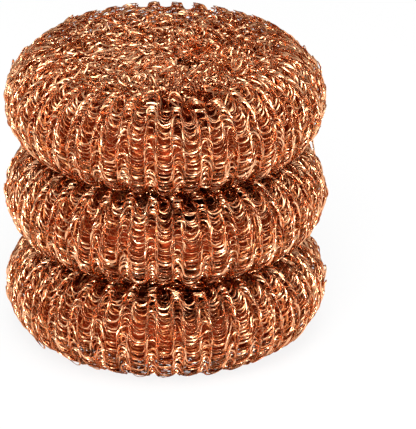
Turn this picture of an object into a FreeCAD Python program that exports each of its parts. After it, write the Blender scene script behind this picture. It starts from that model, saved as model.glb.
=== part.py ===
import FreeCAD, Part
import math
import os
import Sketcher

# A stack of three knitted copper pot scrubbers.
# Each pad is a knitted tube of flat copper wire, rolled over itself like a sock into a thick ring.
# The outer turn of the tube is the skin that scours, ribbed by its columns of stitches (the wales).
# The other turns lie rolled up inside it, and the tail of the tube is gathered through the middle
# of the ring and held by a crimped wire ring in the dimple underneath.
# Z is up, the stack stands on Z = 0, and all the pads share the Z axis.

# The driving sizes, in millimetres, with counts where the name says so.
SIZES = {
    "pad_diameter": 90.0,     # across one pad, over the wales
    "pad_height": 27.7,       # one pad in the stack, from land to land
    "sleeve_wall": 1.6,       # thickness of the outer turn of knit
    "land_width": 7.0,        # flat ring on each face where the pads press on each other
    "dimple_radius": 5.0,     # throat in the middle of each face
    "dimple_depth": 4.0,      # how far the throat's rim lies below the land
    "wale_count": 36,         # ribs of stitches around the pad
    "channel_mouth": 4.8,     # ladder channel between two wales, at the surface
    "channel_floor": 3.2,     # the same channel, along its floor
    "channel_depth": 1.0,     # floor of the channel below the wales
    "channel_fade": 0.65,     # how much wider than the rim the channel's arc is, so that it ends at the lands
    "gather_count": 18,       # pleats that the knit is drawn into around each throat
    "gather_start": 0.1,      # depth of a pleat where it starts, on the land
    "gather_draw": 1.6,       # shift of the pleat's arc out from the dish's, so that it deepens inwards
    "gather_angle": 76.0,     # angle between the flanks of a pleat, in degrees
    "turn_thickness": 3.1,    # loft of one rolled-up turn of knit
    "turn_gap": 0.3,          # room between two turns of the roll
    "roll_core": 0.5,         # least radius left at the heart of the roll
    "seat_gap": 0.3,          # room between pieces that lie against each other
    "shoulder_height": 1.2,   # tapered shoulder where the tail narrows to its neck
    "cinch_radius": 3.0,      # gathered tail where the ring grips it
    "cinch_drop": 1.0,        # grip of the ring below the rim of the lower throat
    "tuft_radius": 4.4,       # end of the tail, splayed out below the ring
    "tuft_lift": 1.6,         # end of the tail above the surface that the pad lies on
    "ring_wire": 0.8,         # diameter of the ring's wire
    "ring_gap": 0.1,          # room between the ring and the tail
    "ring_opening": 12.0,     # angle left between the crimped ends, in degrees
}
PAD_NAMES = ("bottom_pad", "middle_pad", "top_pad")

# Sizes that follow from the driving ones, as the sketches and the loops below use them.
# Each pad is drawn about its own centre, so heights are counted from its middle.
HALF = "sizes.pad_height / 2"
OUTER = "sizes.pad_diameter / 2"
RIM_CENTRE = f"({OUTER} - {HALF})"
LAND_INNER = f"({RIM_CENTRE} - sizes.land_width)"
THROAT_RIM = f"({HALF} - sizes.dimple_depth)"
ROLL_HALF = f"({HALF} - sizes.sleeve_wall - sizes.seat_gap)"
TURN_PITCH = "(sizes.turn_thickness + sizes.turn_gap)"
CHANNEL_CENTRE = f"({RIM_CENTRE} - sizes.channel_depth - sizes.channel_fade)"
CHANNEL_FLOOR = f"({OUTER} - sizes.channel_depth)"
CHANNEL_REACH = f"({OUTER} + sizes.channel_depth)"
CHANNEL_SPREAD = "(2 * sizes.channel_mouth - sizes.channel_floor)"
# The dish is an arc, level where it leaves the land, that drops by the dimple's depth to the throat.
DISH_RUN = f"({LAND_INNER} - sizes.dimple_radius)"
DISH_RADIUS = f"(({DISH_RUN} ^ 2 + sizes.dimple_depth ^ 2) / (2 * sizes.dimple_depth))"
DISH_INNER = f"({DISH_RADIUS} - sizes.sleeve_wall)"
GATHER_CENTRE = f"({LAND_INNER} + sizes.gather_draw)"
GATHER_PIVOT = f"({DISH_RADIUS} - {HALF})"
GATHER_FLOOR = f"({HALF} - sizes.gather_start)"
GATHER_REACH = f"({HALF} + sizes.gather_draw)"
GATHER_SPREAD = "(2 * (sizes.gather_draw + sizes.gather_start) * tan(sizes.gather_angle / 2))"
GATHER_SWING = f"asin(({DISH_RUN} + 2 * sizes.gather_draw) / {DISH_RADIUS})"
THROAT_INNER = f"({HALF} - {DISH_RADIUS} + sqrt({DISH_INNER} ^ 2 - {DISH_RUN} ^ 2))"
NECK_RADIUS = "(sizes.dimple_radius - sizes.seat_gap)"
ROLL_EYE = f"({LAND_INNER} - {ROLL_HALF} + {TURN_PITCH} / 2)"
BELLY_RADIUS = f"({ROLL_EYE} - sizes.seat_gap)"
BELLY_HALF = f"({THROAT_INNER} - sizes.seat_gap)"
CINCH_HEIGHT = f"({THROAT_RIM} + sizes.cinch_drop)"
TUFT_END = f"({HALF} - sizes.tuft_lift)"
WAIST_HALF = "(sizes.ring_wire / 2 + sizes.ring_gap)"
RING_RADIUS = f"(sizes.cinch_radius + {WAIST_HALF})"

START, END, CENTRE = 1, 2, 3
ORIGIN, X_AXIS, Z_AXIS = (-1, 1), -1, -2
UP = FreeCAD.Vector(0, 0, 1)

doc = FreeCAD.newDocument("pot_scrubbers")
sheet = doc.addObject("Spreadsheet::Sheet", "sizes")
for row, (alias, number) in enumerate(SIZES.items(), start=1):
    sheet.set(f"A{row}", alias.replace("_", " "))
    sheet.set(f"B{row}", str(number))
    sheet.setAlias(f"B{row}", alias)
doc.recompute()


def value(formula):
    """A formula's number, for the first place of a sketch's geometry and for the shapes made in code."""
    return float(sheet.evalExpression(formula.replace("sizes.", "")))


def origin_feature(body, role):
    return next(feature for feature in body.Origin.OriginFeatures if feature.Role == role)


def pad_centre(level):
    """Height of a pad's middle above the surface, with that many pads below it."""
    return f"sizes.pad_height * {level} + {HALF}"


def new_body(label, level):
    """A body that is drawn about a pad's centre and stands at its level of the stack."""
    body = doc.addObject("PartDesign::Body", label)
    body.Label = label
    body.setExpression("Placement.Base.z", pad_centre(level))
    return body


def new_sketch(body, name, role):
    sketch = body.newObject("Sketcher::SketchObject", name)
    sketch.AttachmentSupport = (origin_feature(body, role), [""])
    sketch.MapMode = "FlatFace"
    return sketch


def measure(sketch, kind, places, formula, name):
    """Adds a named dimension to a sketch and binds it to the sheet."""
    index = sketch.addConstraint(Sketcher.Constraint(kind, *places, value(formula)))
    sketch.renameConstraint(index, name)
    sketch.setExpression(f"Constraints.{name}", formula)


def polygon(sketch, corners):
    """Closed outline of straight lines. Each corner is a pair of formulas; None puts it on the Z axis."""
    points = [
        FreeCAD.Vector(0 if across is None else value(across), value(up), 0) for across, up in corners
    ]
    for here, there in zip(points, points[1:] + points[:1]):
        sketch.addGeometry(Part.LineSegment(here, there), False)
    count = len(points)
    for index, (across, up) in enumerate(corners):
        before = (index - 1) % count
        sketch.addConstraint(Sketcher.Constraint("Coincident", before, END, index, START))
        if across is None:
            sketch.addConstraint(Sketcher.Constraint("PointOnObject", index, START, Z_AXIS))
        else:
            measure(sketch, "DistanceX", (*ORIGIN, index, START), across, f"across_{index}")
        measure(sketch, "DistanceY", (*ORIGIN, index, START), up, f"up_{index}")


def arc(sketch, centre, radius, first, last):
    """Adds an arc that runs anticlockwise between two angles in degrees, and returns its number."""
    circle = Part.Circle(FreeCAD.Vector(*centre, 0), UP, radius)
    return sketch.addGeometry(Part.ArcOfCircle(circle, math.radians(first), math.radians(last)), False)


def line(sketch, here, there):
    return sketch.addGeometry(
        Part.LineSegment(FreeCAD.Vector(*here, 0), FreeCAD.Vector(*there, 0)), False
    )


def revolve(body, sketch, name):
    turned = body.newObject("PartDesign::Revolution", name)
    turned.Profile = sketch
    turned.ReferenceAxis = (sketch, ["V_Axis"])
    turned.Angle = 360.0
    sketch.Visibility = False
    return turned


def draw_sleeve_section(sketch):
    """Section of the outer turn: a round rim between two flat lands, with a dish down to each throat."""
    half, rim, land = value(HALF), value(RIM_CENTRE), value(LAND_INNER)
    throat, wall = value("sizes.dimple_radius"), value("sizes.sleeve_wall")
    dish, dish_inner, run = value(DISH_RADIUS), value(DISH_INNER), value(DISH_RUN)
    dish_centre = half - dish
    lean, lean_inner = math.degrees(math.asin(run / dish)), math.degrees(math.asin(run / dish_inner))
    rim_out, rim_in = value(THROAT_RIM), value(THROAT_INNER)

    top = arc(sketch, (land, dish_centre), dish, 90, 90 + lean)
    top_land = line(sketch, (land, half), (rim, half))
    rim_arc = arc(sketch, (rim, 0), half, -90, 90)
    low_land = line(sketch, (rim, -half), (land, -half))
    low = arc(sketch, (land, -dish_centre), dish, 270 - lean, 270)
    low_lip = line(sketch, (throat, -rim_out), (throat, -rim_in))
    low_back = arc(sketch, (land, -dish_centre), dish_inner, 270 - lean_inner, 270)
    low_floor = line(sketch, (land, wall - half), (rim, wall - half))
    rim_back = arc(sketch, (rim, 0), half - wall, -90, 90)
    top_floor = line(sketch, (rim, half - wall), (land, half - wall))
    top_back = arc(sketch, (land, dish_centre), dish_inner, 90, 90 + lean_inner)
    top_lip = line(sketch, (throat, rim_in), (throat, rim_out))

    joints = (
        (top, START, top_land, START), (top_land, END, rim_arc, END),
        (rim_arc, START, low_land, START), (low_land, END, low, END),
        (low, START, low_lip, START), (low_lip, END, low_back, START),
        (low_back, END, low_floor, START), (low_floor, END, rim_back, START),
        (rim_back, END, top_floor, START), (top_floor, END, top_back, START),
        (top_back, END, top_lip, START), (top_lip, END, top, END),
        (rim_arc, CENTRE, rim_back, CENTRE), (top, CENTRE, top_back, CENTRE),
        (low, CENTRE, low_back, CENTRE),
    )
    for joint in joints:
        sketch.addConstraint(Sketcher.Constraint("Coincident", *joint))
    for flat in (top_land, low_land, top_floor, low_floor):
        sketch.addConstraint(Sketcher.Constraint("Horizontal", flat))
    for lip in (top_lip, low_lip):
        sketch.addConstraint(Sketcher.Constraint("Vertical", lip))
    level_with = (
        (top, CENTRE, top, START), (low, CENTRE, low, END),
        (top_back, CENTRE, top_back, START), (low_back, CENTRE, low_back, END),
        (rim_arc, CENTRE, rim_arc, START), (rim_arc, CENTRE, rim_arc, END),
        (rim_back, CENTRE, rim_back, START), (rim_back, CENTRE, rim_back, END),
        (top, START, low, END), (top, END, low, START),
    )
    for pair in level_with:
        sketch.addConstraint(Sketcher.Constraint("Vertical", *pair))
    sketch.addConstraint(Sketcher.Constraint("PointOnObject", rim_arc, CENTRE, X_AXIS))
    measure(sketch, "DistanceX", (*ORIGIN, rim_arc, CENTRE), RIM_CENTRE, "rim_centre")
    measure(sketch, "Radius", (rim_arc,), HALF, "rim_radius")
    measure(sketch, "Radius", (rim_back,), f"{HALF} - sizes.sleeve_wall", "rim_back_radius")
    measure(sketch, "DistanceX", (top_land, START, top_land, END), "sizes.land_width", "land_width")
    measure(sketch, "DistanceX", (*ORIGIN, top, END), "sizes.dimple_radius", "throat_radius")
    measure(sketch, "DistanceY", (top, END, top, START), "sizes.dimple_depth", "upper_dimple")
    measure(sketch, "DistanceY", (low, END, low, START), "sizes.dimple_depth", "lower_dimple")


def draw_channel(sketch):
    """Section of one ladder channel at the pad's middle height, and the line that it is swung about."""
    floor, reach = value(CHANNEL_FLOOR), value(CHANNEL_REACH)
    narrow, wide = value("sizes.channel_floor") / 2, value(CHANNEL_SPREAD) / 2
    pivot, swing = value(CHANNEL_CENTRE), value("sizes.channel_mouth")
    corners = [(floor, -narrow), (reach, -wide), (reach, wide), (floor, narrow)]
    sides = [line(sketch, here, there) for here, there in zip(corners, corners[1:] + corners[:1])]
    for index, side in enumerate(sides):
        sketch.addConstraint(Sketcher.Constraint("Coincident", sides[index - 1], END, side, START))
    floor_low, spread_low, spread_high, floor_high = sides
    sketch.addConstraint(Sketcher.Constraint("Symmetric", floor_low, START, floor_high, START, X_AXIS))
    sketch.addConstraint(Sketcher.Constraint("Symmetric", spread_low, START, spread_high, START, X_AXIS))
    measure(sketch, "DistanceX", (*ORIGIN, floor_low, START), CHANNEL_FLOOR, "floor")
    measure(sketch, "DistanceX", (*ORIGIN, spread_low, START), CHANNEL_REACH, "reach")
    measure(sketch, "DistanceY", (floor_low, START, floor_high, START), "sizes.channel_floor", "floor_width")
    measure(sketch, "DistanceY", (spread_low, START, spread_high, START), CHANNEL_SPREAD, "reach_width")
    axis = line(sketch, (pivot, -swing), (pivot, swing))
    sketch.setConstruction(axis, True)
    sketch.addConstraint(Sketcher.Constraint("Symmetric", axis, START, axis, END, X_AXIS))
    measure(sketch, "DistanceX", (*ORIGIN, axis, START), CHANNEL_CENTRE, "channel_centre")
    measure(sketch, "DistanceY", (axis, START, axis, END), "2 * sizes.channel_mouth", "axis_length")


def draw_gather(sketch, side):
    """Section of one pleat where it starts, on the upper or lower face, and the line it is swung about."""
    floor, reach, wide = side * value(GATHER_FLOOR), side * value(GATHER_REACH), value(GATHER_SPREAD) / 2
    pivot = -side * value(GATHER_PIVOT)
    corners = [(0, floor), (wide, reach), (-wide, reach)]
    sides = [line(sketch, here, there) for here, there in zip(corners, corners[1:] + corners[:1])]
    for index, flank in enumerate(sides):
        sketch.addConstraint(Sketcher.Constraint("Coincident", sides[index - 1], END, flank, START))
    right, top, _ = sides
    sketch.addConstraint(Sketcher.Constraint("PointOnObject", right, START, Z_AXIS))
    sketch.addConstraint(Sketcher.Constraint("Symmetric", top, START, top, END, Z_AXIS))
    measure(sketch, "DistanceY", (*ORIGIN, right, START), f"{side} * {GATHER_FLOOR}", "floor")
    measure(sketch, "DistanceY", (*ORIGIN, top, START), f"{side} * {GATHER_REACH}", "reach")
    measure(sketch, "DistanceX", (top, END, top, START), GATHER_SPREAD, "spread")
    axis = line(sketch, (-wide, pivot), (wide, pivot))
    sketch.setConstruction(axis, True)
    sketch.addConstraint(Sketcher.Constraint("Symmetric", axis, START, axis, END, Z_AXIS))
    measure(sketch, "DistanceY", (*ORIGIN, axis, START), f"{-side} * {GATHER_PIVOT}", "pivot")
    measure(sketch, "DistanceX", (axis, START, axis, END), GATHER_SPREAD, "axis_length")


def around(body, feature, count, name):
    """Repeats a feature of a body around its axis."""
    pattern = body.newObject("PartDesign::PolarPattern", name)
    pattern.Originals = [feature]
    pattern.Axis = (origin_feature(body, "Z_Axis"), [""])
    pattern.Angle = 360.0
    pattern.setExpression("Occurrences", count)
    body.Tip = pattern


def outer_turn(label, level):
    """The skin of a pad: one turn of knit, with ladder channels between its wales and pleated throats."""
    body = new_body(label, level)
    section = new_sketch(body, label + "_section", "XZ_Plane")
    draw_sleeve_section(section)
    revolve(body, section, label + "_ring")
    doc.recompute()
    channel = new_sketch(body, label + "_channel", "XY_Plane")
    draw_channel(channel)
    doc.recompute()
    groove = body.newObject("PartDesign::Groove", label + "_groove")
    groove.Profile = channel
    groove.ReferenceAxis = (channel, ["Axis0"])
    groove.Midplane = True
    groove.Angle = 180.0
    channel.Visibility = False
    doc.recompute()
    around(body, groove, "sizes.wale_count", label + "_ladder")
    for face, side in (("upper", 1), ("lower", -1)):
        doc.recompute()
        gather = new_sketch(body, f"{label}_{face}_gather", "YZ_Plane")
        gather.setExpression("AttachmentOffset.Base.z", GATHER_CENTRE)
        draw_gather(gather, side)
        doc.recompute()
        pleat = body.newObject("PartDesign::Groove", f"{label}_{face}_pleat")
        pleat.Profile = gather
        pleat.ReferenceAxis = (gather, ["Axis0"])
        pleat.Reversed = side > 0
        pleat.setExpression("Angle", GATHER_SWING)
        gather.Visibility = False
        doc.recompute()
        around(body, pleat, "sizes.gather_count", f"{label}_{face}_pleats")
    return body


def spiral_edges(radius, turns, pitch, rim, eye):
    """Edges of the rolled strip's one face, from its outer end to its heart, turn after turn."""

    def at(across, up):
        return FreeCAD.Vector(across, 0, up)

    edges = []
    for turn in range(turns):
        half = radius - turn * pitch
        bend = half - pitch / 2
        edges += [
            Part.LineSegment(at(eye, half), at(rim, half)),
            Part.Arc(at(rim, half), at(rim + half, 0), at(rim, -half)),
            Part.LineSegment(at(rim, -half), at(eye, -half)),
            Part.Arc(at(eye, -half), at(eye - bend, -pitch / 2), at(eye, half - pitch)),
        ]
    return [edge.toShape() for edge in edges]


def inner_roll(label, level):
    """The turns of knit rolled up inside the skin: a strip with a spiral section, swept round the pad."""
    half, pitch = value(ROLL_HALF), value(TURN_PITCH)
    strip, rim, eye = value("sizes.turn_thickness"), value(RIM_CENTRE), value(LAND_INNER)
    turns = math.floor((half - strip - value("sizes.roll_core")) / pitch) + 1
    outside = spiral_edges(half, turns, pitch, rim, eye)
    inside = spiral_edges(half - strip, turns, pitch, rim, eye)
    caps = [
        Part.LineSegment(outside[end].Vertexes[end].Point, inside[end].Vertexes[end].Point).toShape()
        for end in (0, -1)
    ]
    section = Part.Face(Part.Wire(Part.__sortEdges__(outside + inside + caps)))
    roll = doc.addObject("Part::Feature", label)
    roll.Label = label
    roll.Shape = section.revolve(FreeCAD.Vector(), UP, 360.0)
    roll.setExpression("Placement.Base.z", pad_centre(level))
    return roll


def gathered_tail(label, level):
    """The tail of the tube, bunched in the middle of the roll and drawn through the lower throat."""
    body = new_body(label, level)
    section = new_sketch(body, label + "_section", "XZ_Plane")
    shoulder = f"({BELLY_HALF} - sizes.shoulder_height)"
    polygon(section, [
        (None, THROAT_RIM),
        (NECK_RADIUS, THROAT_RIM),
        (NECK_RADIUS, BELLY_HALF),
        (BELLY_RADIUS, shoulder),
        (BELLY_RADIUS, f"-{shoulder}"),
        (NECK_RADIUS, f"-{BELLY_HALF}"),
        (NECK_RADIUS, f"-{THROAT_RIM}"),
        ("sizes.cinch_radius", f"{WAIST_HALF} - {CINCH_HEIGHT}"),
        ("sizes.cinch_radius", f"-{WAIST_HALF} - {CINCH_HEIGHT}"),
        ("sizes.tuft_radius", f"-{TUFT_END}"),
        (None, f"-{TUFT_END}"),
    ])
    revolve(body, section, label + "_bunch")
    return body


def tie_ring(label, level):
    """A length of wire bent round the gathered tail and crimped until its ends nearly meet."""
    ring = doc.addObject("Part::Torus", label)
    ring.Label = label
    ring.setExpression("Radius1", RING_RADIUS)
    ring.setExpression("Radius2", "sizes.ring_wire / 2")
    ring.setExpression("Angle3", "360 - sizes.ring_opening")
    ring.setExpression("Placement.Base.z", f"{pad_centre(level)} - {CINCH_HEIGHT}")
    return ring


PIECES = {
    "outer_turn": outer_turn,
    "inner_roll": inner_roll,
    "gathered_tail": gathered_tail,
    "tie_ring": tie_ring,
}
nodes = [
    build(f"{pad}_{piece}", level)
    for level, pad in enumerate(PAD_NAMES)
    for piece, build in PIECES.items()
]
doc.recompute()

for made in doc.Objects:
    if "Invalid" in made.State or "Error" in made.State:
        raise RuntimeError(f"{made.Label} did not build: {made.State}")
for node in nodes:
    if node.Shape.isNull() or not node.Shape.isValid() or not node.Shape.Solids:
        raise RuntimeError(f"{node.Label} is not a valid solid")

os.makedirs("parts", exist_ok=True)
for node in nodes:
    node.Shape.exportStep(f"parts/{node.Label}.step")
    box = node.Shape.BoundBox
    print(
        f"{node.Label}: {len(node.Shape.Solids)} solid, {len(node.Shape.Faces)} faces, "
        f"{node.Shape.Volume / 1000:.2f} cm3, {box.XLength:.1f} x {box.YLength:.1f} x {box.ZLength:.1f}, "
        f"from {box.ZMin:.2f} to {box.ZMax:.2f}"
    )
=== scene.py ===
# %% [markdown]
# Three pot scrubbers, stacked. Each is a tube knitted from flat copper wire and rolled up into a thick
# ring, and what makes it look like one is the knit: loops that stand on edge, in columns round the rim,
# and a tangle on the faces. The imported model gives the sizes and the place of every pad. It is loaded
# first, and nothing moves it.

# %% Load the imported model
import math
from typing import NamedTuple

import bmesh
import bpy
import numpy as np
from mathutils import Matrix, Vector


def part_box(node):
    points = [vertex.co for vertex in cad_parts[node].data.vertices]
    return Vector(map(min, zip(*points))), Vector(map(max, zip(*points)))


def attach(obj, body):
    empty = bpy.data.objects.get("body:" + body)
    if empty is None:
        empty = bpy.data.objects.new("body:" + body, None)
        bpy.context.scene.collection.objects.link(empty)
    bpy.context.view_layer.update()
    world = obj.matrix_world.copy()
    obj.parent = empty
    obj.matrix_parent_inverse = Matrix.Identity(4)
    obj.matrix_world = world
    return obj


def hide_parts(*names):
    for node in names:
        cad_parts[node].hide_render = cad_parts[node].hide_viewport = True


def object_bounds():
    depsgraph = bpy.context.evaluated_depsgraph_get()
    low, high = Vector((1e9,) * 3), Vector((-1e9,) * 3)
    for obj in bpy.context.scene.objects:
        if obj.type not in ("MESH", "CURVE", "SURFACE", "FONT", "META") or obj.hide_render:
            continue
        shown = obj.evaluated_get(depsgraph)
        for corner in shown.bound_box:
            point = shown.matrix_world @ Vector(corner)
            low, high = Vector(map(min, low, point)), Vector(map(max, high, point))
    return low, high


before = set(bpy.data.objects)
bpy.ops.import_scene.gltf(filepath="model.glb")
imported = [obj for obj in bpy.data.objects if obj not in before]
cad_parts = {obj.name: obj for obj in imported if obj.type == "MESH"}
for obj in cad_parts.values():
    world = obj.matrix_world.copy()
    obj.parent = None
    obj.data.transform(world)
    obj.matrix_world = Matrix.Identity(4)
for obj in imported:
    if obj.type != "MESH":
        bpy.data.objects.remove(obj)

MM = 0.001
PADS = ("bottom_pad", "middle_pad", "top_pad")
cad_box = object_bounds()
skin_low, skin_high = (np.array(corner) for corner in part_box("bottom_pad_outer_turn"))
PAD_RADIUS = 0.5 * (skin_high[1] - skin_low[1])
PAD_HEIGHT = skin_high[2] - skin_low[2]
HALF_HEIGHT = 0.5 * PAD_HEIGHT
CREASES = [level * PAD_HEIGHT for level in range(1, len(PADS))]


def pad_centre(pad):
    """The height of the middle of a pad."""
    return float(np.mean([corner[2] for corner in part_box(pad + "_outer_turn")]))


PAD_CENTRES = {pad: pad_centre(pad) for pad in PADS}
print(f"pads {2 * PAD_RADIUS / MM:.1f} mm across and {PAD_HEIGHT / MM:.1f} mm high, at {PAD_CENTRES}")

# %% [markdown]
# The camera comes next, because everything else is judged through it. The photograph looks down on the
# stack from about 25 degrees, and from so far away that all three pads are the same width in the picture.
# A very long lens gives that. The stack stands left of the middle, so the camera is moved sideways, not
# turned.

# %% Camera
PICTURE_PX = (416, 429)
STACK_MIDDLE_PX = (165.5, 189.0)
PAD_WIDTH_PX = 323.0
ELEVATION = math.radians(25)
LENS_MM = 700.0
SENSOR_MM = 36.0
FARTHEST_SEEN = 100.0

px_per_metre = PAD_WIDTH_PX / (2 * PAD_RADIUS)
aim = Vector((0, 0, 0.5 * (cad_box[0][2] + cad_box[1][2])))
look = Vector((0, math.cos(ELEVATION), -math.sin(ELEVATION)))
right = Vector((1, 0, 0))
up = right.cross(look)
aim += right * (0.5 * PICTURE_PX[0] - STACK_MIDDLE_PX[0]) / px_per_metre
aim -= up * (0.5 * PICTURE_PX[1] - STACK_MIDDLE_PX[1]) / px_per_metre
distance = LENS_MM / SENSOR_MM * PICTURE_PX[0] / px_per_metre

camera_data = bpy.data.cameras.new("camera")
camera_data.lens = LENS_MM
camera_data.sensor_width = SENSOR_MM
camera_data.sensor_fit = "HORIZONTAL"
camera_data.clip_end = FARTHEST_SEEN
camera = bpy.data.objects.new("camera", camera_data)
camera_turn = Matrix((right, up, -look)).transposed().to_4x4()
camera.matrix_world = Matrix.Translation(aim - look * distance) @ camera_turn
scene = bpy.context.scene
scene.collection.objects.link(camera)
scene.camera = camera
print(f"camera {distance:.2f} m from the stack")

# %% [markdown]
# Bright wire shows its surroundings. In a plain white tent it goes flat, because every side of a loop
# meets the same white. So only the camera's own rays see a white world. The rays that the wire mirrors
# meet a grey room, dimmer behind the stack and dimmer still towards the horizon, and each loop gets a
# bright side and a dim side.

# %% World
WORLD_LIGHT = 0.55
ROOM_LIGHT = 0.70
BACKDROP_LIGHT = 0.40
BACKDROP_FROM = 0.9
HORIZON_SHARE = 0.25
HORIZON_ENDS = 0.6


def map_range(nodes, from_limits, to_limits):
    """A node that stretches one range of values to another, and holds it within its ends."""
    stretch = nodes.new("ShaderNodeMapRange")
    stretch.inputs["From Min"].default_value, stretch.inputs["From Max"].default_value = from_limits
    stretch.inputs["To Min"].default_value, stretch.inputs["To Max"].default_value = to_limits
    return stretch


def math_node(nodes, operation):
    node = nodes.new("ShaderNodeMath")
    node.operation = operation
    return node


scene.view_settings.view_transform = "Standard"
world = bpy.data.worlds.new("studio")
scene.world = world
world.use_nodes = True
nodes, links = world.node_tree.nodes, world.node_tree.links
background = nodes["Background"]
background.inputs["Color"].default_value = (1, 1, 1, 1)
path = nodes.new("ShaderNodeLightPath")
direction = nodes.new("ShaderNodeTexCoord")
axes = nodes.new("ShaderNodeSeparateXYZ")
room = map_range(nodes, (0.0, BACKDROP_FROM), (ROOM_LIGHT, BACKDROP_LIGHT))
horizon = map_range(nodes, (0.0, HORIZON_ENDS), (HORIZON_SHARE, 1.0))
dimmed = math_node(nodes, "MULTIPLY")
reflected = math_node(nodes, "MAXIMUM")
mirrored = nodes.new("ShaderNodeMix")
mirrored.inputs["A"].default_value = WORLD_LIGHT
strength = nodes.new("ShaderNodeMix")
strength.inputs["B"].default_value = 1.0
links.new(direction.outputs["Generated"], axes.inputs["Vector"])
links.new(axes.outputs["Y"], room.inputs["Value"])
links.new(axes.outputs["Z"], horizon.inputs["Value"])
links.new(room.outputs["Result"], dimmed.inputs[0])
links.new(horizon.outputs["Result"], dimmed.inputs[1])
links.new(path.outputs["Is Glossy Ray"], reflected.inputs[0])
links.new(path.outputs["Is Transmission Ray"], reflected.inputs[1])
links.new(reflected.outputs[0], mirrored.inputs["Factor"])
links.new(dimmed.outputs[0], mirrored.inputs["B"])
links.new(path.outputs["Is Camera Ray"], strength.inputs["Factor"])
links.new(mirrored.outputs["Result"], strength.inputs["A"])
links.new(strength.outputs["Result"], background.inputs["Strength"])
print("a white backdrop for the camera and a grey room for the wire to mirror")

# %% [markdown]
# The glints come from lamps. One in front, up high, and a low strip do most of the work: the strip
# reaches under the rims and puts flecks into the creases between the pads. One above lights the faces,
# and two weak ones open up the sides. They are of a middling size: small lamps turn fine wire into single
# hot pixels, and large ones fill its shadows.

# %% Lamps
LAMP_TARGET = Vector((0, 0, 0.04))


def add_lamp(name, place, width, height, power):
    """A soft lamp that faces the stack."""
    data = bpy.data.lights.new(name, "AREA")
    data.shape = "RECTANGLE"
    data.size = width
    data.size_y = height
    data.energy = power
    lamp = bpy.data.objects.new(name, data)
    place = Vector(place)
    turned = (LAMP_TARGET - place).to_track_quat("-Z", "Y").to_matrix().to_4x4()
    lamp.matrix_world = Matrix.Translation(place) @ turned
    scene.collection.objects.link(lamp)
    print(f"{name}: {width} x {height} m, {power} W")


add_lamp("lamp_above", place=(0.1, -0.3, 0.9), width=0.6, height=0.6, power=3.5)
add_lamp("lamp_left", place=(-0.75, -0.6, 0.5), width=0.5, height=0.5, power=0.3)
add_lamp("lamp_right", place=(0.8, -0.5, 0.4), width=0.5, height=0.5, power=0.3)
add_lamp("lamp_front", place=(-0.1, -0.85, 0.95), width=0.6, height=0.6, power=8.2)
add_lamp("lamp_low", place=(-0.05, -1.1, 0.15), width=0.4, height=0.16, power=9.0)

# %% [markdown]
# The pads stand on a white table that melts into the backdrop. A plain white floor would come out grey,
# so for the camera's rays most of it is a white glow, and the small rest is paint that takes a faint
# shadow.

# %% Floor
FLOOR_SIZE = 12.0
FLOOR_PAINT = (0.9, 0.9, 0.9, 1)
FLOOR_ROUGHNESS = 0.9
FLOOR_GLOW_SHARE = 0.85

bm = bmesh.new()
bmesh.ops.create_grid(bm, x_segments=1, y_segments=1, size=FLOOR_SIZE / 2)
floor_mesh = bpy.data.meshes.new("floor")
bm.to_mesh(floor_mesh)
bm.free()
floor = bpy.data.objects.new("floor", floor_mesh)
scene.collection.objects.link(floor)
floor_paint = bpy.data.materials.new("pale_floor")
floor_paint.use_nodes = True
nodes, links = floor_paint.node_tree.nodes, floor_paint.node_tree.links
shader = nodes["Principled BSDF"]
shader.inputs["Base Color"].default_value = FLOOR_PAINT
shader.inputs["Roughness"].default_value = FLOOR_ROUGHNESS
shader.inputs["Specular IOR Level"].default_value = 0.0
glow = nodes.new("ShaderNodeEmission")
glow.inputs["Strength"].default_value = 1.0
path = nodes.new("ShaderNodeLightPath")
share = math_node(nodes, "MULTIPLY")
share.inputs[1].default_value = FLOOR_GLOW_SHARE
mix = nodes.new("ShaderNodeMixShader")
links.new(path.outputs["Is Camera Ray"], share.inputs[0])
links.new(share.outputs[0], mix.inputs["Fac"])
links.new(shader.outputs["BSDF"], mix.inputs[1])
links.new(glow.outputs["Emission"], mix.inputs[2])
links.new(mix.outputs["Shader"], nodes["Material Output"].inputs["Surface"])
floor_mesh.materials.append(floor_paint)
print(f"a floor of {FLOOR_SIZE} m, {FLOOR_GLOW_SHARE:.0%} of it glow for the camera")

# %% [markdown]
# Drawn wire isn't even: it carries brighter and browner stretches, and fine marks from the die. Every
# copper finish needs both, so they are made once, as a node group that turns a position into soft patches
# and speckle.

# %% Patches that all the copper shares
NOISE_MIDDLE = (0.3, 0.7)
PATCH_DETAIL = 2.0
SPECKLE_DETAIL = 1.0


def cloudy_group():
    """Soft patches and fine speckle, both from 0 to 1, from a position."""
    group = bpy.data.node_groups.new("copper_patches", "ShaderNodeTree")
    face = group.interface
    face.new_socket("Position", in_out="INPUT", socket_type="NodeSocketVector")
    face.new_socket("Patch Scale", in_out="INPUT", socket_type="NodeSocketFloat")
    face.new_socket("Speckle Scale", in_out="INPUT", socket_type="NodeSocketFloat")
    face.new_socket("Patches", in_out="OUTPUT", socket_type="NodeSocketFloat")
    face.new_socket("Speckle", in_out="OUTPUT", socket_type="NodeSocketFloat")
    inward = group.nodes.new("NodeGroupInput")
    outward = group.nodes.new("NodeGroupOutput")
    noises = (("Patches", "Patch Scale", PATCH_DETAIL), ("Speckle", "Speckle Scale", SPECKLE_DETAIL))
    for result, scale, detail in noises:
        noise = group.nodes.new("ShaderNodeTexNoise")
        noise.inputs["Detail"].default_value = detail
        spread = map_range(group.nodes, NOISE_MIDDLE, (0.0, 1.0))
        group.links.new(inward.outputs["Position"], noise.inputs["Vector"])
        group.links.new(inward.outputs[scale], noise.inputs["Scale"])
        group.links.new(noise.outputs["Fac"], spread.inputs["Value"])
        group.links.new(spread.outputs["Result"], outward.inputs[result])
    return group


copper_patches = cloudy_group()
print(f"a group of {len(copper_patches.nodes)} nodes for patches and speckle")

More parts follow.
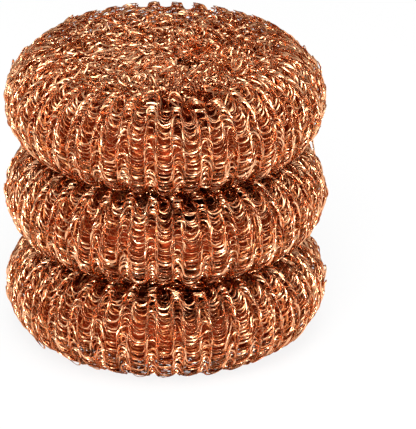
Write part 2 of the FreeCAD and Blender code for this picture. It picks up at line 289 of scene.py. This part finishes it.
# %% [markdown]
# Copper's own colour does much of the work: light that bounces once off it is pale orange, and light that
# has bounced three times between the loops is red. The skin is bright. The turns behind it are rougher, as
# shiny wire in the dark only gives stray sparks, and painted darker and browner, a painted shade; the
# packed turns further in are painted nearly black-red, a painted shade too. Where pads press together and
# in the slack place the wire's colour is darkened as painted shade: the knit stores how much at each point,
# in an attribute, and the finish reads it.

# %% Copper finishes
def copper(name, bright, brown, roughness, scales, painted_shade_colour=None):
    """A finish that wanders between a bright and a browner colour, and between two roughnesses."""
    material = bpy.data.materials.new(name)
    material.use_nodes = True
    nodes, links = material.node_tree.nodes, material.node_tree.links
    shader = nodes["Principled BSDF"]
    shader.inputs["Metallic"].default_value = 1.0
    shader.inputs["Specular Tint"].default_value = (*bright, 1)
    position = nodes.new("ShaderNodeTexCoord")
    patches = nodes.new("ShaderNodeGroup")
    patches.node_tree = copper_patches
    patches.inputs["Patch Scale"].default_value, patches.inputs["Speckle Scale"].default_value = scales
    colour = nodes.new("ShaderNodeMix")
    colour.data_type = "RGBA"
    colour.inputs["A"].default_value = (*bright, 1)
    colour.inputs["B"].default_value = (*brown, 1)
    shine = map_range(nodes, (0.0, 1.0), roughness)
    links.new(position.outputs["Object"], patches.inputs["Position"])
    links.new(patches.outputs["Patches"], colour.inputs["Factor"])
    links.new(patches.outputs["Speckle"], shine.inputs["Value"])
    links.new(shine.outputs["Result"], shader.inputs["Roughness"])
    # painted shade: the colour is darkened where the knit's attribute says, in the creases and the slack
    # place
    if painted_shade_colour:
        painted_shade = nodes.new("ShaderNodeAttribute")
        painted_shade.attribute_name = "painted_shade"
        darken = nodes.new("ShaderNodeMix")
        darken.data_type = "RGBA"
        darken.inputs["B"].default_value = (*painted_shade_colour, 1)
        links.new(painted_shade.outputs["Fac"], darken.inputs["Factor"])
        links.new(colour.outputs["Result"], darken.inputs["A"])
        colour = darken
    links.new(colour.outputs["Result"], shader.inputs["Base Color"])
    print(f"{name}: roughness {roughness[0]} to {roughness[1]}")
    return material


# the last colour of each finish is a painted shade for the creases and the slack place
knit_copper = copper(
    "knit_copper",
    bright=(0.90, 0.49, 0.275),
    brown=(0.84, 0.40, 0.20),
    roughness=(0.14, 0.26),
    scales=(260.0, 1500.0),
    painted_shade_colour=(0.46, 0.12, 0.04),
)
# painted shade: the next turn is the same copper, painted darker and browner so that it reads as shaded
deep_copper_painted_shade = copper(
    "deep_copper_painted_shade",
    bright=(0.72, 0.27, 0.10),
    brown=(0.54, 0.17, 0.05),
    roughness=(0.40, 0.55),
    scales=(260.0, 1500.0),
    painted_shade_colour=(0.12, 0.012, 0.003),
)
# painted shade: the packed turns are the same copper, painted nearly black-red for the light that doesn't
# get out
core_copper_painted_shade = copper(
    "core_copper_painted_shade",
    bright=(0.34, 0.045, 0.012),
    brown=(0.15, 0.017, 0.004),
    roughness=(0.45, 0.65),
    scales=(400.0, 900.0),
)
ring_copper = copper(
    "ring_copper",
    bright=(0.86, 0.50, 0.33),
    brown=(0.74, 0.38, 0.22),
    roughness=(0.18, 0.30),
    scales=(500.0, 2000.0),
)

# %% [markdown]
# The knit lies over the pad's rounded section. The section is drawn once, as a line from the upper throat
# over the crown and the rim to the lower throat, and sampled finely, so that any point of the knit can
# ask for the radius, the height and the outward direction at its own distance along the line.

# %% The section that the knit follows
LAND_WIDTH = 7.0 * MM
THROAT_RADIUS = 2.4 * MM
DIMPLE_DEPTH = 4.0 * MM
RIM_CENTRE = PAD_RADIUS - HALF_HEIGHT
LAND_INNER = RIM_CENTRE - LAND_WIDTH
SECTION_STEP = 0.1 * MM
ARC_POINTS = 60
SKIN_INSET = 0.9 * MM


class Section:
    """A line in the plane of radius and height, with its outward direction, by distance along it."""

    def __init__(self, points):
        points = np.asarray(points)
        steps = np.hypot(*np.diff(points, axis=0).T)
        distance = np.concatenate(([0.0], np.cumsum(steps)))
        self.length = distance[-1]
        self.along = np.arange(0.0, self.length, SECTION_STEP)
        self.radius = np.interp(self.along, distance, points[:, 0])
        self.height = np.interp(self.along, distance, points[:, 1])
        slope_r, slope_z = np.gradient(self.radius), np.gradient(self.height)
        size = np.hypot(slope_r, slope_z)
        self.out_r, self.out_z = -slope_z / size, slope_r / size

    def at(self, along):
        lines = (self.radius, self.height, self.out_r, self.out_z)
        return tuple(np.interp(along, self.along, line) for line in lines)


def arc_points(centre, radius, first, last):
    angles = np.radians(np.linspace(first, last, ARC_POINTS))
    return np.column_stack((centre[0] + radius * np.cos(angles), centre[1] + radius * np.sin(angles)))


def pad_section(inset):
    """The outline of a pad, that far inside its skin."""
    run = LAND_INNER - THROAT_RADIUS
    dish = (run**2 + DIMPLE_DEPTH**2) / (2 * DIMPLE_DEPTH)
    lean = math.degrees(math.asin(run / dish))
    upper = arc_points((LAND_INNER, HALF_HEIGHT - dish), dish - inset, 90 + lean, 90)
    rim = arc_points((RIM_CENTRE, 0), HALF_HEIGHT - inset, 90, -90)
    lower = arc_points((LAND_INNER, dish - HALF_HEIGHT), dish - inset, 270, 270 - lean)
    return Section(np.concatenate((upper, rim, lower)))


skin_section = pad_section(SKIN_INSET)
print(f"the knit runs {skin_section.length / MM:.0f} mm from throat to throat")

# %% [markdown]
# The top of a pad isn't quite round. Its dimple sits off the middle, and in front of it lies a slack
# place, where the turns below have fallen away from the skin and the loops are drawn apart into small
# dark holes. Sculpting that would tie it to one mesh. Three small functions of a place on the pad serve
# every turn of the knit alike.

# %% Dimple, slack place and holes
DIMPLE_PLACE = (6.8 * MM, 3.0 * MM)
DIMPLE_REACH = 6.0 * MM
HOLLOW_PLACE = (6.0 * MM, -27.0 * MM)
HOLLOW_RADIUS = 11.0 * MM
HOLLOW_DEPTH = 4.5 * MM
HOLES_MM = ((9.0, -33.0), (3.2, -31.5), (-3.5, -30.5), (5.5, -23.0), (12.0, -26.5))
HOLE_SIZE = (2.0 * MM, 3.2 * MM)
SMALLEST_SHARE = 0.01


def off_centre(radius, height):
    """How far the upper dimple draws a point aside: most at the throat, nothing at the land or low down."""
    share = np.clip(1 - (radius / LAND_INNER) ** 2, 0, 1) ** 2 * np.clip(height / DIMPLE_REACH, 0, 1)
    return DIMPLE_PLACE[0] * share, DIMPLE_PLACE[1] * share


def hollow_share(x, y):
    """1 in the middle of the slack place, easing to 0 round it."""
    return np.exp(-((x - HOLLOW_PLACE[0]) ** 2 + (y - HOLLOW_PLACE[1]) ** 2) / HOLLOW_RADIUS**2)


def draw_aside(x, y):
    """How far the loops round each hole are drawn aside from its middle."""
    aside = np.zeros((len(x), 2))
    for hole in HOLES_MM:
        away = np.column_stack((x - hole[0] * MM, y - hole[1] * MM))
        share = np.linalg.norm(away / HOLE_SIZE, axis=1, keepdims=True)
        share = np.maximum(share, SMALLEST_SHARE)
        aside += away * np.exp(-share) / share
    return aside


print(f"a slack place {HOLLOW_DEPTH / MM:.1f} mm deep with {len(HOLES_MM)} holes")

# %% [markdown]
# A jersey knit is laid in loops, round after round, each loop drawn through the loop below. Several wires
# are fed together, so every round has strands that lie near each other, and never quite side by side. One
# loop could be modelled and copied, but no two loops of a scrubber are alike. So a strand starts as one
# straight ribbon, thousands of steps long, and a formula moves each step to its place. This needs a few
# ways to make a value change along the wire: a random wander, a ramp, a bump, and a blend from the rim to
# the faces.

# %% Fabric, and values that change along a wire
WALES = 36
COMMON_SHARE = 0.6


class Fabric(NamedTuple):
    """One turn of the knitted tube: the section that it covers and how it is knitted."""

    section: Section
    wales: int
    strands: int
    spacing: float
    steps: int
    seed: int
    slack: float = 0.0


class Spread(NamedTuple):
    """A random movement: how far on the rim and on the faces, how often, and what all strands share."""

    rim: float
    face: float
    per_loop: int = 2
    common: float = COMMON_SHARE


def wander(rng, along):
    """A smooth random line: one value for each whole step of along, eased from each to the next."""
    values = rng.normal(size=int(along[-1]) + 2)
    index = np.floor(along).astype(int)
    ease = along - index
    ease = ease * ease * (3 - 2 * ease)
    return values[index] * (1 - ease) + values[index + 1] * ease


def ramp(value, start, takes):
    return np.clip((value - start) / takes, 0, 1)


def bump(value, middle, spread):
    return np.exp(-(((value - middle) / spread) ** 2))


def between(rim, face, tangle):
    return rim * (1 - tangle) + face * tangle


column_width = 2 * math.pi * PAD_RADIUS / WALES
print(f"{WALES} columns of loops round a pad, {column_width / MM:.1f} mm each at the rim")

# %% [markdown]
# Where a loop lies decides how it behaves. On the rim the loops stand in order. On the faces the same
# loops crowd into less room, so they lean and buckle every way, and at the throat they are gathered. On
# the far edge of the upper face, the crest, their heads stand up. On the near shoulder, below the upper
# face, and on the lower half of the rim, the foot, the heads turn towards the light. Slopes are the angle
# of the surface's outward side, in radians.

# %% Plan of the loops
ORDER_STARTS = RIM_CENTRE - 4.0 * MM
ORDER_ENDS = RIM_CENTRE + 3.0 * MM
GATHER_ENDS = 14.0 * MM
FAR_SIDE_GAIN = 2.0
CREST_SLOPE = 1.2
CREST_SPREAD = 0.22
FOOT_STARTS = 0.1
FOOT_TAKES = 0.3
SHOULDER_STARTS = 0.7
SHOULDER_TAKES = 0.3
CALM_CREST = 0.8
CALM_GATHER = 0.7
CALM_BELOW = 0.5


class LoopPlan:
    """Where every step of a strand lies in its loops, and how far each zone of the pad counts there."""

    def __init__(self, fabric, strand, seed):
        self.shared = np.random.default_rng(seed)
        self.own = np.random.default_rng([seed, strand])
        courses = round(fabric.section.length / fabric.spacing)
        course_places = np.linspace(0, fabric.section.length, courses + 1)
        self.count = fabric.wales * courses * fabric.steps
        self.along = np.arange(self.count + 1) / fabric.steps
        self.turn = 2 * np.pi * self.along
        self.cosine = np.cos(self.turn / fabric.wales)
        self.sine = np.sin(self.turn / fabric.wales)
        self.place = np.interp(self.along / fabric.wales, np.arange(courses + 1), course_places)
        self.place += fabric.spacing * strand / fabric.strands
        self.radius, _, out_r, out_z = fabric.section.at(self.place)
        self.width = 2 * np.pi * self.radius / fabric.wales
        self.slope = np.arctan2(out_z, out_r)
        self.head = 0.5 - 0.5 * np.cos(self.turn)
        self.rung = (1 - self.head) ** 2
        self.tangle = ramp(ORDER_ENDS - self.radius, 0, ORDER_ENDS - ORDER_STARTS)
        self.order = 1 - self.tangle
        self.gather = ramp(GATHER_ENDS - self.radius, 0, GATHER_ENDS - THROAT_RADIUS)
        self.above = out_z > 0
        self.below = np.clip(-out_z, 0, 1) * self.order
        far_side = np.clip(FAR_SIDE_GAIN * self.sine, 0, 1)
        self.crest = far_side * bump(self.slope, CREST_SLOPE, CREST_SPREAD)
        self.foot = self.head * ramp(-self.slope, FOOT_STARTS, FOOT_TAKES) * self.order
        near_head = self.head * (1 - far_side)
        self.shoulder = near_head * ramp(self.slope, SHOULDER_STARTS, SHOULDER_TAKES) * self.order

    def uneven(self, spread):
        """A random line along the strand, calmer at the crest, at the throat and underneath."""
        alike = wander(self.shared, spread.per_loop * self.along)
        apart = wander(self.own, spread.per_loop * self.along)
        calm = 1 - CALM_CREST * self.crest * self.head
        calm = calm * (1 - CALM_GATHER * self.gather) * (1 - CALM_BELOW * self.below)
        mixed = spread.common * alike + math.sqrt(1 - spread.common**2) * apart
        return calm * between(spread.rim, spread.face, self.tangle) * mixed


print(f"loops in order from {ORDER_ENDS / MM:.1f} mm outwards, tangled inside {ORDER_STARTS / MM:.1f} mm")

# %% [markdown]
# A loop is a bow: its legs swell at the middle and draw in at the neck, its head leans out of the surface
# and its foot lies under the head below. That gives three movements at each step: across the column, down
# the section and out of the surface. Each has a regular part, which makes it read as knit, and a random
# part, which makes it real.

# %% Shape of a loop
LOOP_HALF_HEIGHT = (3.0 * MM, 2.4 * MM)
NECK_RIM = 0.08
NECK_LESS_BELOW = 0.04
NECK_FACE = 0.15
PLUMP = (0.045, 0.075)
HEAD_OUT = 0.4 * MM
HEAD_IN_BELOW = 2.0
CROWN_OUT = 0.25 * MM
FOOT_OUT = 0.8 * MM
FOOT_SHARPNESS = 6
SINK_SLOPE = -1.25
SINK_SPREAD = 0.3
FACE_SUNK = 0.5 * MM
STRAY_OUT = 0.05 * MM
STRAYS_PER_LOOP = 2
SHOULDER_OUT = 0.5 * MM
CREST_OUT = 1.6 * MM
SLACK_DROP = 1.5 * MM
HEIGHT_VARIES = Spread(0.12, 0.3, per_loop=1)
LEAN_VARIES = Spread(0.1, 1.3)
STAND_VARIES = Spread(0.1, 0.8)
ACROSS_VARIES = Spread(0.32 * MM, 1.0 * MM)
ACROSS_AT_HEAD = Spread(0.3 * MM, 0.2 * MM, per_loop=4, common=0.0)
DOWN_VARIES = Spread(0.25 * MM, 1.0 * MM, common=0.3)
DOWN_AT_HEAD = Spread(0.4 * MM, 0.2 * MM, per_loop=4, common=0.0)
LIFT_VARIES = Spread(0.2 * MM, 0.35 * MM)
LIFT_AT_HEAD = Spread(0.3 * MM, 0.2 * MM, per_loop=4, common=0.0)


def loop_shape(plan, strand, sunk):
    """How far each step of the wire moves across its column, down the section and out of the surface."""
    turn, head, below, tangle = plan.turn, plan.head, plan.below, plan.tangle
    half_height = between(*LOOP_HALF_HEIGHT, tangle) * (1 + plan.uneven(HEIGHT_VARIES))
    lean = plan.uneven(LEAN_VARIES)
    stand = plan.uneven(STAND_VARIES)
    neck = between(NECK_RIM - NECK_LESS_BELOW * below, NECK_FACE, tangle)
    bow = plan.width * (neck * np.sin(2 * turn) + PLUMP[strand % len(PLUMP)] * np.sin(turn))
    rise = half_height * np.cos(turn)
    lying = rise * np.cos(stand)
    across = bow * np.cos(lean) - lying * np.sin(lean)
    down = bow * np.sin(lean) + lying * np.cos(lean)
    lift = rise * np.sin(stand)
    lift -= HEAD_OUT * (1 - HEAD_IN_BELOW * below) * np.cos(turn)
    lift -= CROWN_OUT * np.cos(2 * turn)
    lift += FOOT_OUT * below * (1 - head) ** FOOT_SHARPNESS
    lift -= sunk * bump(plan.slope, SINK_SLOPE, SINK_SPREAD)
    across += plan.uneven(ACROSS_VARIES) + head * plan.uneven(ACROSS_AT_HEAD)
    down += plan.uneven(DOWN_VARIES) + head * plan.uneven(DOWN_AT_HEAD)
    lift += plan.uneven(LIFT_VARIES) + head * plan.uneven(LIFT_AT_HEAD) - FACE_SUNK * tangle
    lift += STRAY_OUT * (1 - plan.crest) * wander(plan.own, STRAYS_PER_LOOP * plan.along) ** 3
    lift += SHOULDER_OUT * plan.shoulder
    lift += CREST_OUT * plan.crest * head**2
    slack_place = hollow_share(plan.radius * plan.cosine, plan.radius * plan.sine) * plan.above
    down += SLACK_DROP * plan.rung * slack_place
    return across, down, lift


rim_loop, face_loop = (2 * half / MM for half in LOOP_HALF_HEIGHT)
print(f"loops {rim_loop:.1f} mm high on the rim and {face_loop:.1f} mm on the faces")

# %% [markdown]
# Flat wire shines where its flat meets the light, so how the ribbon is twisted matters as much as where
# it lies. The rungs roll over with the surface, the legs take sudden random twists, and at the shoulder,
# the foot and the crest the flats are steadied and turned, which gives the row of flecks above and below
# each crease.

# %% Twist of the wire
LEG_TWIST = 0.35
LEG_TWISTS_PER_LOOP = 4
ROLL_STARTS = 0.6
ROLL_TAKES = 0.45
ROLL_BELOW = 1.5
STEADIED = 0.75
SHOULDER_FACES = 1.86
FOOT_FACES = 1.28
TWIST_VARIES = Spread(0.18, 1.0)
TWIST_FINELY = Spread(0.45, 0.55, per_loop=6, common=0.0)
TWIST_AT_HEAD = Spread(0.5, 0.2, per_loop=4, common=0.0)
TWIST_AT_RUNG = Spread(0.6, 0.0, common=0.0)


def wire_twist(plan):
    """The angle of the ribbon about its own run, in radians: at 0 it stands on edge."""
    head, slope = plan.head, plan.slope
    twist = plan.uneven(TWIST_VARIES) + plan.uneven(TWIST_FINELY) + head * plan.uneven(TWIST_AT_HEAD)
    twist += plan.rung * plan.uneven(TWIST_AT_RUNG)
    leg = np.sin(plan.turn) ** 2
    twist += LEG_TWIST * leg * plan.order * wander(plan.own, LEG_TWISTS_PER_LOOP * plan.along) ** 3
    roll_above = np.pi / 2 * ramp(slope, ROLL_STARTS, ROLL_TAKES)
    twist -= np.where(slope > 0, roll_above, ROLL_BELOW * slope) * plan.rung * plan.order
    twist *= 1 - STEADIED * np.maximum(plan.foot * plan.below, plan.shoulder)
    twist += (SHOULDER_FACES - slope) * plan.shoulder - (FOOT_FACES + slope) * plan.foot
    return twist + np.pi / 2 * plan.crest * head**2


print(f"flats turned to {math.degrees(SHOULDER_FACES):.0f} degrees at the shoulder")

# %% [markdown]
# Now the three movements are added to the section, and the strand lies on the pad. The painted shade in the
# wire's colour is worked out here too, because it depends on the finished place: dark in the creases
# between pads and in the slack place, where shade falls, and least on the loops' heads, which are left
# bright so that their glints stay pale.

# %% Place of the wire on the pad
RIBBON_WIDTH = 0.42 * MM
FACE_STARTS = 0.9
FACE_TAKES = 0.08
CREASE_REACH = 2.3 * MM
HOLLOW_DARKNESS = 1.8
HOLLOW_EDGE = 0.2


def wire_line(plan, fabric, centre, strand, sunk):
    """The middle of the wire at each step, the surface's outward direction there, and the painted shade in
    its colour.
    """
    across, down, lift = loop_shape(plan, strand, sunk)
    along_section = np.clip(plan.place + down, 0, fabric.section.length)
    ring, height, out_r, out_z = fabric.section.at(along_section)
    ring = ring + out_r * lift
    height = np.maximum(height + out_z * lift, 0.5 * RIBBON_WIDTH - HALF_HEIGHT)
    aside_x, aside_y = off_centre(ring, height)
    x = ring * plan.cosine - across * plan.sine + aside_x
    y = ring * plan.sine + across * plan.cosine + aside_y
    middle = np.column_stack((x, y, height + centre))
    outward = np.column_stack((out_r * plan.cosine, out_r * plan.sine, out_z))
    middle[:, :2] += draw_aside(x, y) * ramp(out_z, FACE_STARTS, FACE_TAKES)[:, None]
    in_hollow = hollow_share(middle[:, 0], middle[:, 1]) * (out_z > 0)
    middle[:, 2] -= fabric.slack * HOLLOW_DEPTH * in_hollow

    # painted shade: the colour is darkened near the creases between pads and in the slack place, less on
    # the loops' heads
    from_crease = np.min([np.abs(middle[:, 2] - crease) for crease in CREASES], axis=0)
    hollow_painted_shade = np.clip(HOLLOW_DARKNESS * in_hollow - HOLLOW_EDGE, 0, 1)
    painted_shade = np.maximum(bump(from_crease, 0, CREASE_REACH), hollow_painted_shade)
    painted_shade *= np.maximum(1 - plan.head**2, fabric.slack * hollow_painted_shade)
    return middle, outward, painted_shade


crease_heights = ", ".join(f"{crease / MM:.1f}" for crease in CREASES)
print(f"tarnish within about {CREASE_REACH / MM:.1f} mm of the creases at {crease_heights} mm")

# %% [markdown]
# The ribbon itself is a grid, one face wide. Its vertices are moved to the line of the wire, half a width
# to either side, and Solidify gives it a thickness. A real flat wire is slightly crowned, so it catches
# light over a range of angles. Rounded edges would cost many faces, so only the corner normals are tilted
# outwards.

# %% Ribbon
RIBBON_THICKNESS = 0.10 * MM
RIBBON_ROUNDING = math.radians(18)


def straight_ribbon(name, count):
    """A straight strip of that many faces, with the step along it and the side of each of its vertices."""
    bm = bmesh.new()
    bmesh.ops.create_grid(bm, x_segments=count, y_segments=1, size=0.5)
    mesh = bpy.data.meshes.new(name)
    bm.to_mesh(mesh)
    bm.free()
    spots = np.empty(3 * len(mesh.vertices))
    mesh.vertices.foreach_get("co", spots)
    spots = spots.reshape(-1, 3)
    start = spots[:, 0].min()
    step = np.rint((spots[:, 0] - start) / np.ptp(spots[:, 0]) * count).astype(int)
    return mesh, step, np.sign(spots[:, 1])


def width_direction(middle, outward, twist):
    """The direction of the ribbon's width at each step."""
    forward = np.gradient(middle, axis=0)
    forward /= np.linalg.norm(forward, axis=1, keepdims=True)
    beside = np.cross(outward, forward)
    beside /= np.linalg.norm(beside, axis=1, keepdims=True)
    upright = np.cross(forward, beside)
    return upright * np.cos(twist)[:, None] + beside * np.sin(twist)[:, None]


def thicken(piece):
    """Gives a flat ribbon its thickness."""
    solid = piece.modifiers.new("thickness", "SOLIDIFY")
    solid.thickness = RIBBON_THICKNESS
    solid.offset = 0.0
    finished = bpy.data.meshes.new_from_object(piece.evaluated_get(bpy.context.evaluated_depsgraph_get()))
    piece.modifiers.clear()
    thin, piece.data = piece.data, finished
    bpy.data.meshes.remove(thin)
    finished.name = piece.name


def round_off(mesh, middle, edge):
    """Tilts a ribbon's corner normals outwards, so that its flats shade as slightly crowned."""
    corner = np.empty(3 * len(mesh.vertices))
    mesh.vertices.foreach_get("co", corner)
    off = corner.reshape(-1, 3) - middle
    sideways = (off * edge).sum(axis=1, keepdims=True)
    straight_out = off - sideways * edge
    straight_out /= np.linalg.norm(straight_out, axis=1, keepdims=True)
    tilt = math.sin(RIBBON_ROUNDING) * np.sign(sideways) * edge
    mesh.shade_smooth()
    mesh.normals_split_custom_set_from_vertices(math.cos(RIBBON_ROUNDING) * straight_out + tilt)


def knit(name, fabric, pad, strand, sunk=0.0):
    """One strand of a knitted turn of a pad, as a closed mesh of flat wire."""
    plan = LoopPlan(fabric, strand, fabric.seed + PADS.index(pad))
    middle, outward, painted_shade = wire_line(plan, fabric, PAD_CENTRES[pad], strand, sunk)
    edge = width_direction(middle, outward, wire_twist(plan))
    mesh, step, side = straight_ribbon(name, plan.count)
    laid = middle[step] + 0.5 * RIBBON_WIDTH * side[:, None] * edge[step]
    mesh.vertices.foreach_set("co", laid.ravel())
    mesh.update()
    piece = bpy.data.objects.new(name, mesh)
    scene.collection.objects.link(piece)
    thicken(piece)
    round_off(piece.data, np.tile(middle[step], (2, 1)), np.tile(edge[step], (2, 1)))
    darkened = piece.data.attributes.new("painted_shade", "FLOAT", "POINT")
    darkened.data.foreach_set("value", np.tile(painted_shade[step], 2))
    return piece


def finish_piece(piece, material, body, slot, *replaced):
    """Gives a piece its finish and the body that it rides on, and hides the solids that it stands for. The
    slot is not used.
    """
    piece.data.materials.clear()
    piece.data.materials.append(material)
    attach(piece, body)
    if replaced:
        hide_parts(*replaced)
    print(f"{piece.name}: {2 * len(piece.data.polygons)} triangles")


print(f"ribbon {RIBBON_WIDTH / MM:.2f} mm wide and {RIBBON_THICKNESS / MM:.2f} mm thick")

# %% [markdown]
# The skin is the turn of knit that shows and scours: five strands for each pad. A pad that rests on
# another is drawn in a little under its rim, which opens the crease. The lowest one stands on the table
# and keeps its shape.

# %% Skins
SKIN = Fabric(skin_section, WALES, strands=5, spacing=4.8 * MM, steps=15, seed=11, slack=0.3)
SKIN_SUNK_ON_PAD = 1.2 * MM
SKIN_SUNK_ON_TABLE = 0.0

for pad in PADS:
    for strand in range(SKIN.strands):
        name = f"{pad}_skin_strand_{strand + 1}"
        sunk = SKIN_SUNK_ON_TABLE if pad == PADS[0] else SKIN_SUNK_ON_PAD
        skin = knit(name, SKIN, pad, strand, sunk)
        finish_piece(skin, knit_copper, pad, "copper_knit", pad + "_outer_turn")

# %% [markdown]
# Through the skin's ladders shows the next turn of the roll. It is knitted the same way, a little further
# in, with fewer strands and the rougher finish, whose darker, browner colour is a painted shade, and it
# falls all the way into the slack place. Under the lowest pad's rim it is pushed out instead of in, which
# closes the view of the floor through the ladders.

# %% The next turn
TURN_INSET = 2.9 * MM
TURN_SUNK_ON_PAD = 0.6 * MM
TURN_SUNK_ON_TABLE = -1.3 * MM
turn_section = pad_section(TURN_INSET)
NEXT_TURN = Fabric(turn_section, WALES, strands=3, spacing=4.8 * MM, steps=10, seed=31, slack=1.0)

for pad in PADS:
    for strand in range(NEXT_TURN.strands):
        name = f"{pad}_next_turn_strand_{strand + 1}"
        sunk = TURN_SUNK_ON_TABLE if pad == PADS[0] else TURN_SUNK_ON_PAD
        next_turn = knit(name, NEXT_TURN, pad, strand, sunk)
        finish_piece(next_turn, deep_copper_painted_shade, pad, "rolled_knit", pad + "_inner_roll")

# %% [markdown]
# Deeper in, the turns are packed so close that hardly any light comes out. More strands would cost many
# faces that nobody sees, so a closed body painted nearly black-red, a painted shade, stands for them: the
# section, spun round the pad's axis, with the same dimple and slack place as the knit.

# %% Packed turns
CORE_INSET = 5.0 * MM
CORE_POINTS = 40
CORE_STEPS = 96
core_section = pad_section(CORE_INSET)


def packed_turns(name, centre):
    """A closed body of revolution for the inner turns of a pad."""
    bm = bmesh.new()
    stops = np.linspace(0, core_section.along[-1], CORE_POINTS)
    radius, height, _, _ = core_section.at(stops)
    rim = [bm.verts.new((r, 0, z + centre)) for r, z in zip(radius, height)]
    edges = [bm.edges.new(pair) for pair in zip(rim, rim[1:] + rim[:1])]
    bmesh.ops.spin(
        bm,
        geom=rim + edges,
        cent=(0, 0, 0),
        axis=(0, 0, 1),
        angle=2 * math.pi,
        steps=CORE_STEPS,
        use_merge=True,
    )
    for vert in bm.verts:
        aside = off_centre(vert.co.xy.length, vert.co.z - centre)
        vert.co += Vector((*aside, 0))
        if vert.co.z > centre:
            vert.co.z -= HOLLOW_DEPTH * hollow_share(vert.co.x, vert.co.y)
    bmesh.ops.recalc_face_normals(bm, faces=bm.faces)
    mesh = bpy.data.meshes.new(name)
    bm.to_mesh(mesh)
    bm.free()
    mesh.shade_smooth()
    piece = bpy.data.objects.new(name, mesh)
    scene.collection.objects.link(piece)
    return piece


for pad in PADS:
    core = packed_turns(pad + "_packed_turns", PAD_CENTRES[pad])
    finish_piece(core, core_copper_painted_shade, pad, "rolled_knit", pad + "_inner_roll")

# %% [markdown]
# The end of the tube is gathered through the middle. It starts as a bunch of loops in the upper dimple,
# runs down the throat, is gripped by the tie ring and splays into a tuft under it. It is the same knit
# with fewer loops, over a section of its own, given as radius and height in millimetres from the top of
# the bunch to the tuft.

# %% Gathered tails
TAIL_WALES = 9
TAIL_LINE_MM = (
    (2.6, 7.4),
    (2.2, 6.5),
    (2.0, 4.5),
    (2.0, 0.0),
    (2.0, -8.0),
    (2.5, -10.2),
    (2.5, -11.2),
    (3.9, -12.0),
)
tail_section = Section(MM * np.array(TAIL_LINE_MM))
TAIL = Fabric(tail_section, TAIL_WALES, strands=2, spacing=2.4 * MM, steps=12, seed=51)

for pad in PADS:
    for strand in range(TAIL.strands):
        tail = knit(f"{pad}_tail_strand_{strand + 1}", TAIL, pad, strand)
        finish_piece(tail, knit_copper, pad, "gathered_knit", pad + "_gathered_tail")

# %% [markdown]
# A short wire, bent round the gathered tail and crimped, keeps a pad from unrolling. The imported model
# already has these rings in their true shape, so they stay as they are and only get a finish.

# %% Tie rings
for pad in PADS:
    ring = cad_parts[pad + "_tie_ring"]
    ring.data.materials.clear()
    ring.data.materials.append(ring_copper)
    print(f"{pad}_tie_ring: {ring_copper.name}")
